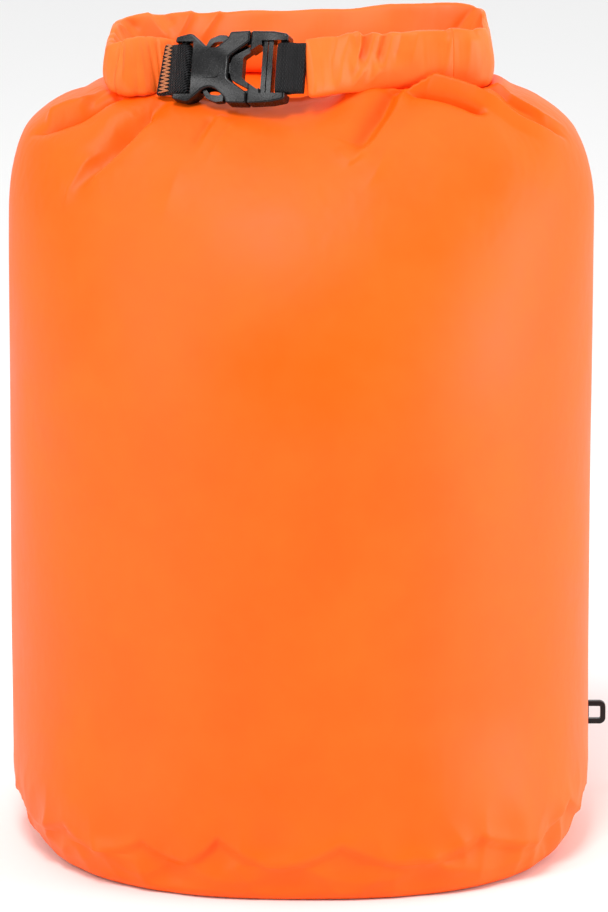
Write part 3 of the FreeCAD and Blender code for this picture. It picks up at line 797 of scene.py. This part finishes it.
@made_once
def fabric_material(name):
    look = settings()
    low, high = tuple(look.fabric_colour), tuple(look.fabric_bright)
    # The roll's material is a lit copy of the nylon: painted light, with paler colours standing in for the
    # light that falls on the roll.
    if name == "rolled_nylon_painted_light":
        low, high = tuple(look.roll_painted_light_colour), tuple(look.roll_painted_light_colour)[:1] + (0.19, 0.028, 1)
    material, tree, shader = start_material(name, 0.5, Specular_IOR_Level=0.24)
    weave = place_group(tree, "fabric_weave", weave_group, Yarn_Pitch=0.0011, Mottle_Size=0.035)
    factor = range_node(tree, weave.outputs["Mottle"], 0.35, 0.7, 0.0, 1.0)
    colour_mix(tree, factor, low, high, shader.inputs["Base Color"])
    rough = range_node(tree, weave.outputs["Mottle"], 0.3, 0.75, 0.44, 0.56)
    tree.links.new(rough, shader.inputs["Roughness"])
    crinkle = new_node(tree, "ShaderNodeTexNoise", Scale=160.0, Detail=4.0, Roughness=0.55)
    place = new_node(tree, "ShaderNodeTexCoord")
    tree.links.new(place.outputs["Object"], crinkle.inputs["Vector"])
    fine = math_node(tree, "MULTIPLY", weave.outputs["Height"], 0.035)
    both = math_node(tree, "ADD", crinkle.outputs[0], fine)
    bump(tree, both, 0.0006, 0.22, shader)
    return material


@made_once
def webbing_material(name):
    material, tree, shader = start_material(
        name, 0.62, Sheen_Weight=0.06, Sheen_Roughness=0.4, Specular_IOR_Level=0.3)
    weave = place_group(tree, "fabric_weave", weave_group, Yarn_Pitch=0.0016, Mottle_Size=0.004)
    dark = tuple(settings().webbing_colour)
    light = tuple(min(1.0, 2.5 * c + 0.004) for c in dark[:3]) + (1.0,)
    factor = range_node(tree, weave.outputs["Mottle"], 0.35, 0.8, 0.0, 0.5)
    colour_mix(tree, factor, dark, light, shader.inputs["Base Color"])
    bump(tree, weave.outputs["Height"], 0.0005, 0.8, shader)
    return material


@made_once
def thread_material(name):
    material, tree, shader = start_material(name, 0.6, Sheen_Weight=0.3)
    grain = place_group(tree, "surface_grain", grain_group, Grain_Size=0.0008)
    colour = tuple(settings().thread_colour)
    dark = tuple(0.45 * c for c in colour[:3]) + (1.0,)
    colour_mix(tree, grain.outputs["Grain"], dark, colour, shader.inputs["Base Color"])
    bump(tree, grain.outputs["Grain"], 0.0002, 0.6, shader)
    return material


@made_once
def plastic_material(name, colour, roughness, pale):
    material, tree, shader = start_material(name, roughness, Specular_IOR_Level=0.3)
    grain = place_group(tree, "surface_grain", grain_group, Grain_Size=0.0005)
    worn = tuple(min(1.0, c * pale) for c in colour[:3]) + (1.0,)
    colour_mix(tree, grain.outputs["Wear"], tuple(colour), worn, shader.inputs["Base Color"])
    rough = range_node(tree, grain.outputs["Grain"], 0.3, 0.7, roughness - 0.06, roughness + 0.06)
    tree.links.new(rough, shader.inputs["Roughness"])
    place = new_node(tree, "ShaderNodeTexCoord")
    sink = new_node(tree, "ShaderNodeTexNoise", Scale=48.0, Detail=0.0)
    tree.links.new(place.outputs["Object"], sink.inputs["Vector"])
    fine = math_node(tree, "MULTIPLY", grain.outputs["Grain"], 0.008)
    height = math_node(tree, "ADD", sink.outputs[0], fine)
    bump(tree, height, 0.0035, 1.0, shader)
    return material


@made_once
def tape_material(name):
    material, tree, shader = start_material(name, 0.4)
    weave = place_group(tree, "fabric_weave", weave_group, Yarn_Pitch=0.0014, Mottle_Size=0.01)
    colour_mix(tree, weave.outputs["Mottle"], (0.45, 0.43, 0.4, 1), (0.6, 0.58, 0.55, 1),
               shader.inputs["Base Color"])
    bump(tree, weave.outputs["Height"], 0.0003, 0.4, shader)
    return material


def wear_material(piece, material):
    piece.data.materials.clear()
    piece.data.materials.append(material)


def finish_piece(piece, material, slot_name, body, *nodes):
    wear_material(piece, material)
    if body:
        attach(piece, body)
    if nodes:
        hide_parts(*nodes)


def thicken(piece, thickness):
    """Give a sheet its thickness, to the inside."""
    solid = piece.modifiers.new("thickness", "SOLIDIFY")
    solid.thickness = thickness
    solid.offset = -1
    solid.use_rim = True


# ---------------------------------------------------------------- operators

class DRYBAG_OT_wall(bpy.types.Operator):
    """Make the side wall with its shoulders, creases and seam ripples"""

    bl_idname = "dry_bag.wall"
    bl_label = "Side wall"

    def execute(self, context):
        wall = grid_object("wall_fabric", wall_grid())
        finish_piece(wall, fabric_material("coated_nylon"), "coated_fabric", "bag", "side_wall")
        return {"FINISHED"}


class DRYBAG_OT_base(bpy.types.Operator):
    """Make the round base panel and the seam tapes inside"""

    bl_idname = "dry_bag.base"
    bl_label = "Base and tapes"

    def execute(self, context):
        panel = grid_object("base_fabric", base_grid()[::-1], cap_start=True)
        finish_piece(panel, fabric_material("coated_nylon"), "coated_fabric", "bag", "base_panel")
        grid = wall_grid()
        normals = grid_normals(grid)
        rows = grid[..., 2].mean(1)
        ring = [i for i, z in enumerate(rows) if z < SEAM_Z + 9][:8]
        tape = grid_object("base_tape", grid[ring] - 1.2 * normals[ring])
        thicken(tape, 0.0003)
        finish_piece(tape, tape_material("seam_tape"), "seam_tape", "bag", "base_seam_tape")
        turns = column_turns()
        near = from_lash(turns) < 6.5
        tall = [i for i, z in enumerate(rows[:ROWS_LOW + ROWS_HIGH]) if SEAM_Z + 10 < z < 225]
        strip = (grid - 1.2 * normals)[tall][:, near]
        side = grid_object("side_tape", strip, closed=False)
        thicken(side, 0.0003)
        finish_piece(side, tape_material("seam_tape"), "seam_tape", "bag", "side_seam_tape")
        return {"FINISHED"}


class DRYBAG_OT_roll(bpy.types.Operator):
    """Make the rolled closure: its left arm, back and right bend, and its right arm as a separate piece"""

    bl_idname = "dry_bag.roll"
    bl_label = "Rolled closure"

    def execute(self, context):
        s = rounded_path(RING, ROLL_STEP)[1]
        total = s[-1]
        split = s[np.argmin(np.abs(s - (total - MOVING_ARM)))]
        ring = grid_object("roll_fabric", roll_grid(0, split, round_end=False), cap_start=True, cap_end=True)
        # The roll wears the paler copy of the nylon, painted light for the light on the roll; its inner
        # turns keep the plain nylon.
        finish_piece(ring, fabric_material("rolled_nylon_painted_light"), "coated_fabric", "bag", "roll_cover")
        arm = grid_object("roll_arm_fabric", roll_grid(split, total, round_start=False),
                          cap_start=True, cap_end=True)
        wear_material(arm, fabric_material("rolled_nylon_painted_light"))
        plan_point(total - 56)
        plan_point(total - 4)
        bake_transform(arm)
        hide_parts("roll_cover")
        inner = grid_object("roll_turns", roll_grid(12, split, swell=-2.2), cap_start=True, cap_end=True)
        finish_piece(inner, fabric_material("coated_nylon"), "coated_fabric", "bag", "roll_core")
        strip = grid_object("hem_strip", strip_grid(14, split - 2), cap_start=True, cap_end=True)
        finish_piece(strip, plastic_material("strip_plastic", (0.7, 0.7, 0.68, 1), 0.5, 1.2),
                     "stiffener", "bag", "stiffener_strip")
        return {"FINISHED"}


def plan_point(place):
    """A point of the roll's centreline, in metres."""
    path, s = rounded_path(RING, ROLL_STEP)
    x, y = (np.interp(place, s, path[:, i]) * MM for i in (0, 1))
    return (float(x), float(y), float(ROLL_MID * MM))


def strip_grid(first, last):
    path, s, outward, bottom, top, _, lean = roll_frame()
    keep = (s >= first) & (s <= last)
    rows = []
    for height, out in ((-6.5, -0.4), (-6.5, 0.4), (6.5, 0.4), (6.5, -0.4)):
        tilt = lean[keep]
        side = out * np.cos(tilt) - height * np.sin(tilt)
        z = (top + bottom)[keep] / 2 + height * np.cos(tilt)
        xy = path[keep] + outward[keep] * side[:, None]
        rows.append(np.concatenate([xy, z[:, None]], 1))
    return np.array(rows).transpose(1, 0, 2)


# ---- webbing ----

WEB_HALF = 10.0
WEB_T = 1.3
BAR_W = 3.2
LEFT_BAR_U = 1.4
RIGHT_BAR_U = 42.2
LEFT_SLANT = 1.9          # the left tab's sewn edge runs aslant


def fold_path(bar_u, direction, tail):
    """Line of the folded tape in the buckle's u and w: front layer, bend round the bar, back layer."""
    reach = 2.05
    turn = (bar_u if direction > 0 else bar_u + BAR_W) - direction * 0.1
    centre = turn + direction * (reach - WEB_T / 2)
    leave = (bar_u + BAR_W if direction > 0 else bar_u) + direction * 0.8
    bend = [(centre - direction * reach * math.sin(a), reach * math.cos(a))
            for a in np.linspace(0, math.pi, 19)]
    front = [(tail, 0.72), (leave + direction * 3.0, 0.72), (leave + direction * 1.4, 1.3), (leave, 1.95)]
    back = [(u, -w) for u, w in reversed(front)]
    line = np.array(front + bend + back)
    gaps = np.linalg.norm(np.diff(line, axis=0), axis=1)
    walked = np.concatenate([[0], np.cumsum(gaps)])
    even = np.linspace(0, walked[-1], 150)
    return np.stack([np.interp(even, walked, line[:, i]) for i in (0, 1)], -1), even


def tape_grid(line, side, normal, half_width, thickness, rib):
    """Sections of a flat tape along a line, with ribs across it and rounded selvedges."""
    across = np.linspace(-1, 1, 41)
    face = thickness / 2 * np.sqrt(np.clip(1 - np.abs(across) ** 14, 0, 1))
    over = np.concatenate([across, across[::-1]])[None, :] * np.broadcast_to(half_width, len(line))[:, None]
    out = np.concatenate([face, -face[::-1]])[None, :] * (1 + rib[:, None])
    return line[:, None] + side * over[..., None] + normal[:, None] * out[..., None]


def webbing_object(name, bar_u, direction, tail, slant):
    """A woven tape folded round a buckle bar, with ribs and rounded selvedges."""
    line, walked = fold_path(bar_u, direction, tail)
    tangent = np.gradient(line, axis=0)
    tangent /= np.linalg.norm(tangent, axis=1, keepdims=True)
    normal = np.stack([-tangent[:, 1], tangent[:, 0]], -1)
    flat = np.zeros(len(line))
    centre = np.stack([line[:, 0], flat, line[:, 1]], -1)
    out = np.stack([normal[:, 0], flat, normal[:, 1]], -1)
    rib = 0.1 / WEB_T * np.cos(walked * 2 * math.pi / 1.15)
    grid = tape_grid(centre, np.array([0.0, 1.0, 0.0]), out, WEB_HALF, WEB_T, rib)
    u, v, w = grid[..., 0], grid[..., 1], grid[..., 2]
    far = np.clip((direction * (u - bar_u) - 3) / 8.0, 0, 1)
    u = u + slant * far * v / WEB_HALF
    return grid_object(name, on_buckle(u, v, w), cap_start=True, cap_end=True)


class DRYBAG_OT_webbing(bpy.types.Operator):
    """Make the two webbing tabs and the zigzag that holds the left one"""

    bl_idname = "dry_bag.webbing"
    bl_label = "Webbing"

    def execute(self, context):
        left = webbing_object("webbing_left", LEFT_BAR_U, -1, -6.2, LEFT_SLANT)
        finish_piece(left, webbing_material("woven_tape"), "webbing", "bag", "left_webbing")
        right = webbing_object("webbing_right", RIGHT_BAR_U, 1, 52.6, 0.0)
        finish_piece(right, webbing_material("woven_tape"), "webbing", "plug", "right_webbing")
        stitches = thread_object("tab_stitches", zigzag_lines(), 0.24, np.array(FACE))
        finish_piece(stitches, thread_material("sewing_thread"), "thread", "bag", "webbing_stitches")
        return {"FINISHED"}


def thread_tube(points, radius, guide, sides=8):
    """Sections of a thread along a line of points; the guide is out of the cloth."""
    points = np.asarray(points)
    tangent = np.gradient(points, axis=0)
    tangent /= np.linalg.norm(tangent, axis=1, keepdims=True)
    first = np.cross(tangent, guide)
    first /= np.linalg.norm(first, axis=1, keepdims=True)
    second = np.cross(first, tangent)
    a = 2 * math.pi * np.arange(sides) / sides
    return points[:, None] + radius * (first[:, None] * np.cos(a)[None, :, None]
                                       + second[:, None] * np.sin(a)[None, :, None])


def thread_object(name, lines, radius, guide):
    """One mesh of several threads, each closed at its ends."""
    verts, faces = [], []
    for line in lines:
        tube = thread_tube(line, radius, guide)
        start = len(verts)
        rows, cols = tube.shape[:2]
        verts += (tube.reshape(-1, 3) * MM).tolist()
        for r in range(rows - 1):
            for c in range(cols):
                d = (c + 1) % cols
                faces.append([start + r * cols + c, start + r * cols + d,
                              start + (r + 1) * cols + d, start + (r + 1) * cols + c])
        faces.append([start + c for c in range(cols)][::-1])
        faces.append([start + (rows - 1) * cols + c for c in range(cols)])
    return mesh_object(name, verts, faces)


def zigzag_lines():
    """Two close rows of zigzag across the left tab, each stitch arched out of the tape."""
    lines = []
    for offset, width, count in ((-3.6, 1.3, 13), (-4.3, 1.3, 13)):
        line = []
        for i in range(count * 2):
            t = i / (count * 2 - 1)
            v = (2 * t - 1) * (WEB_HALF - 0.7)
            side = width if i % 2 else -width
            for k in range(6):
                f = k / 6
                across = side - 2 * side * f
                v_here = v + f * 2 * (WEB_HALF - 0.7) / (count * 2 - 1)
                far = np.clip((LEFT_BAR_U - offset - across - 3) / 8.0, 0, 1)
                slant = LEFT_SLANT * far * v_here / WEB_HALF
                lift = 0.1 + 0.16 * math.sin(math.pi * f)
                line.append(on_buckle(offset + across + slant, v_here, 0.72 + WEB_T / 2 + lift))
        lines.append(np.array(line))
    return lines


# ---- lash ring's holder ----

LASH_TAPE_T = 0.5
LASH_TAPE_HALF = 2.2
PIN_REACH = 1.25          # from the ring's pin to the middle of the tape round it
LASH_PATCH_T = 0.5
PATCH_GAP = 0.1           # from the wall to the patch
OUTWARD = np.array([math.cos(LASH_TURN), math.sin(LASH_TURN), 0.0])
ASIDE = np.array([-math.sin(LASH_TURN), math.cos(LASH_TURN), 0.0])
UPWARD = np.array([0.0, 0.0, 1.0])


def at_lash(radial, aside, up):
    """A point by the lash ring, from the bag's axis out, round the wall, and up from the ring."""
    radial, aside, up = np.broadcast_arrays(radial, aside, up)
    return (radial[..., None] * OUTWARD + aside[..., None] * ASIDE
            + (LASH_Z + up)[..., None] * UPWARD)


def patch_grid():
    """The patch, bent round the wall, with rounded corners and a row of stitching near its edge."""
    half_wide, half_tall, corner = 6.0, 9.0, 1.6
    middle = BAG_R + PATCH_GAP + LASH_PATCH_T / 2
    place = np.linspace(-half_wide, half_wide, 61)
    angle = place / middle
    line = at_lash(middle * np.cos(angle), middle * np.sin(angle), 0.0)
    normal = np.cos(angle)[:, None] * OUTWARD + np.sin(angle)[:, None] * ASIDE
    into = np.clip((np.abs(place) - half_wide + corner) / corner, 0, 1)
    tall = half_tall - corner * (1 - np.sqrt(1 - 0.98 * into ** 2))
    grid = tape_grid(line, UPWARD, normal, tall, LASH_PATCH_T, np.zeros(len(place)))
    count = grid.shape[1] // 2
    up = grid[:, :count, 2] - LASH_Z
    edge = np.minimum(half_wide - np.abs(place)[:, None], half_tall - np.abs(up))
    groove = -0.13 * np.exp(-((edge - 1.2) / 0.3) ** 2)
    groove += 0.03 * np.cos(place[:, None] * 2 * math.pi / 0.9) * np.cos(up * 2 * math.pi / 0.9)
    grid[:, :count] += normal[:, None] * groove[..., None]
    return grid


def lash_tape_grid():
    """Narrow tape: one leg, round the ring's pin, and the other leg, both flat on the patch."""
    pin = math.hypot(*JOINTS["lash_ring_swing"]["pos_m"][:2]) / MM
    foot = BAG_R + PATCH_GAP + LASH_PATCH_T + LASH_TAPE_T / 2
    out = pin + PIN_REACH
    half = [(foot, 5.0, 0.0), (foot, PIN_REACH, 0.6), (out, PIN_REACH, 1.2)]
    path, walked = rounded_path(half + [(x, -y, r) for x, y, r in reversed(half)], 0.06)
    tangent = np.gradient(path, axis=0)
    tangent /= np.linalg.norm(tangent, axis=1, keepdims=True)
    normal = tangent[:, 1:2] * OUTWARD - tangent[:, 0:1] * ASIDE
    rib = 0.1 * np.cos(walked * 2 * math.pi / 0.7)
    line = at_lash(path[:, 0], path[:, 1], 0.0)
    return tape_grid(line, UPWARD, normal, LASH_TAPE_HALF, LASH_TAPE_T, rib)


def lash_tacks():
    """A dense bar tack on each leg of the lash tape."""
    face = BAG_R + PATCH_GAP + LASH_PATCH_T + LASH_TAPE_T + 0.08
    lines = []
    for side in (1, -1):
        turns = np.arange(17)
        aside = side * 3.8 + 0.9 * np.where(turns % 2, 1, -1)
        up = np.linspace(-1.45, 1.45, len(turns))
        fine = np.linspace(0, len(turns) - 1, 16 * 6 + 1)
        lift = 0.1 * np.abs(np.sin(math.pi * fine))
        lines.append(at_lash(face + lift, np.interp(fine, turns, aside), np.interp(fine, turns, up)))
    return lines


class DRYBAG_OT_lash(bpy.types.Operator):
    """Make the lash patch, the tape that holds the ring, and their stitching"""

    bl_idname = "dry_bag.lash"
    bl_label = "Lash patch and tape"

    def execute(self, context):
        patch = grid_object("lash_patch_cloth", patch_grid(), cap_start=True, cap_end=True)
        finish_piece(patch, webbing_material("woven_tape"), "webbing", "bag", "lash_patch")
        tape = grid_object("lash_tape_loop", lash_tape_grid(), cap_start=True, cap_end=True)
        finish_piece(tape, webbing_material("woven_tape"), "webbing", "bag", "lash_tape")
        tacks = thread_object("lash_tacks", lash_tacks(), 0.16, OUTWARD)
        finish_piece(tacks, thread_material("sewing_thread"), "thread", "bag", "lash_stitches")
        return {"FINISHED"}


class DRYBAG_OT_hardware(bpy.types.Operator):
    """Give the buckle and the lash ring their finishes"""

    bl_idname = "dry_bag.hardware"
    bl_label = "Buckle and lash ring"

    def execute(self, context):
        buckle = plastic_material("buckle_acetal", tuple(settings().buckle_colour), 0.24, 1.8)
        for node in ("buckle_female", "buckle_male", "buckle_upper_arm", "buckle_lower_arm"):
            wear_material(frame["nodes"][node], buckle)
        ring = plastic_material("ring_acetal", (0.005, 0.005, 0.005, 1), 0.4, 2.0)
        wear_material(frame["nodes"]["lash_ring"], ring)
        return {"FINISHED"}


VIEW_TARGET = (0.0013, 0, 0.1436)
VIEW_HEIGHT = 0.3458      # metres of the object that fill the picture's height


class DRYBAG_OT_stage(bpy.types.Operator):
    """Make the floor, the light and the camera"""

    bl_idname = "dry_bag.stage"
    bl_label = "Stage"

    def execute(self, context):
        look = settings()
        scene = context.scene
        floor = mesh_object("floor", [(-6, -6, 0), (6, -6, 0), (6, 6, 0), (-6, 6, 0)], [(0, 1, 2, 3)])
        pale = start_material("pale_floor", 0.9, Base_Color=(0.9, 0.9, 0.9, 1))[0]
        wear_material(floor, pale)
        world = bpy.data.worlds.new("studio")
        scene.world = world
        world.use_nodes = True
        sky = world.node_tree
        toward = new_node(sky, "ShaderNodeTexCoord")
        split = new_node(sky, "ShaderNodeSeparateXYZ")
        sky.links.new(toward.outputs["Generated"], split.inputs[0])
        glow = range_node(sky, split.outputs[1], -0.8, 0.2, 0.04, 1.24)
        sky.nodes["Background"].inputs[0].default_value = (1, 1, 1, 1)
        flag = range_node(sky, split.outputs[0], -0.9, -0.2, 0.5, 1.0)
        sky.links.new(math_node(sky, "MULTIPLY", glow, flag), sky.nodes["Background"].inputs[1])
        lights = (
            ("key", (-1.25, -1.3, 1.45), 0.6, 9, (0, 0, 0.25)),
            ("left", (-1.6, -1.1, 0.6), 0.8, 10, (0, 0, 0.17)),
            ("right", (1.9, -0.45, 0.45), 1.0, 23, (0, 0, 0.13)),
            ("top", (-0.3, -1.2, 2.3), 0.7, 33, (0, 0, 0.28)),
        )
        for name, place, size, power, target in lights:
            lamp = bpy.data.lights.new(name, "AREA")
            lamp.size = size
            lamp.energy = power
            piece = bpy.data.objects.new(name, lamp)
            piece.location = place
            aim = Vector(target) - Vector(place)
            piece.rotation_euler = aim.to_track_quat("-Z", "Y").to_euler()
            scene.collection.objects.link(piece)
        lens = bpy.data.cameras.new("camera")
        camera = bpy.data.objects.new("camera", lens)
        scene.collection.objects.link(camera)
        scene.camera = camera
        elevation = look.camera_elevation
        view = Vector((0, math.cos(elevation), -math.sin(elevation)))
        target = Vector(VIEW_TARGET)
        camera.location = target - view * look.camera_distance
        camera.rotation_euler = view.to_track_quat("-Z", "Y").to_euler()
        lens.sensor_width = 36.0
        lens.lens = lens.sensor_width * look.camera_distance / VIEW_HEIGHT
        lens.clip_end = 50
        scene.view_settings.view_transform = "Standard"
        scene.view_settings.look = "None"
        return {"FINISHED"}


class DRYBAG_PT_panel(bpy.types.Panel):
    """Lists the pieces of the dry bag and their settings"""

    bl_idname = "DRYBAG_PT_panel"
    bl_label = "Dry Bag"
    bl_space_type = "VIEW_3D"
    bl_region_type = "UI"
    bl_category = "Dry Bag"

    def draw(self, context):
        for operator in OPERATORS:
            self.layout.operator(operator.bl_idname)
        for name in DryBagSettings.__annotations__:
            self.layout.prop(context.scene.dry_bag, name)


OPERATORS = (DRYBAG_OT_wall, DRYBAG_OT_base, DRYBAG_OT_roll, DRYBAG_OT_webbing, DRYBAG_OT_lash,
             DRYBAG_OT_hardware, DRYBAG_OT_stage)
CLASSES = (DryBagSettings,) + OPERATORS + (DRYBAG_PT_panel,)


def register():
    for item in CLASSES:
        bpy.utils.register_class(item)
    bpy.types.Scene.dry_bag = PointerProperty(type=DryBagSettings)


def unregister():
    del bpy.types.Scene.dry_bag
    for item in reversed(CLASSES):
        bpy.utils.unregister_class(item)


def main():
    register()
    bpy.ops.dry_bag.wall()
    bpy.ops.dry_bag.base()
    bpy.ops.dry_bag.roll()
    bpy.ops.dry_bag.webbing()
    bpy.ops.dry_bag.lash()
    bpy.ops.dry_bag.hardware()
    bpy.ops.dry_bag.stage()


if __name__ == "__main__":
    main()
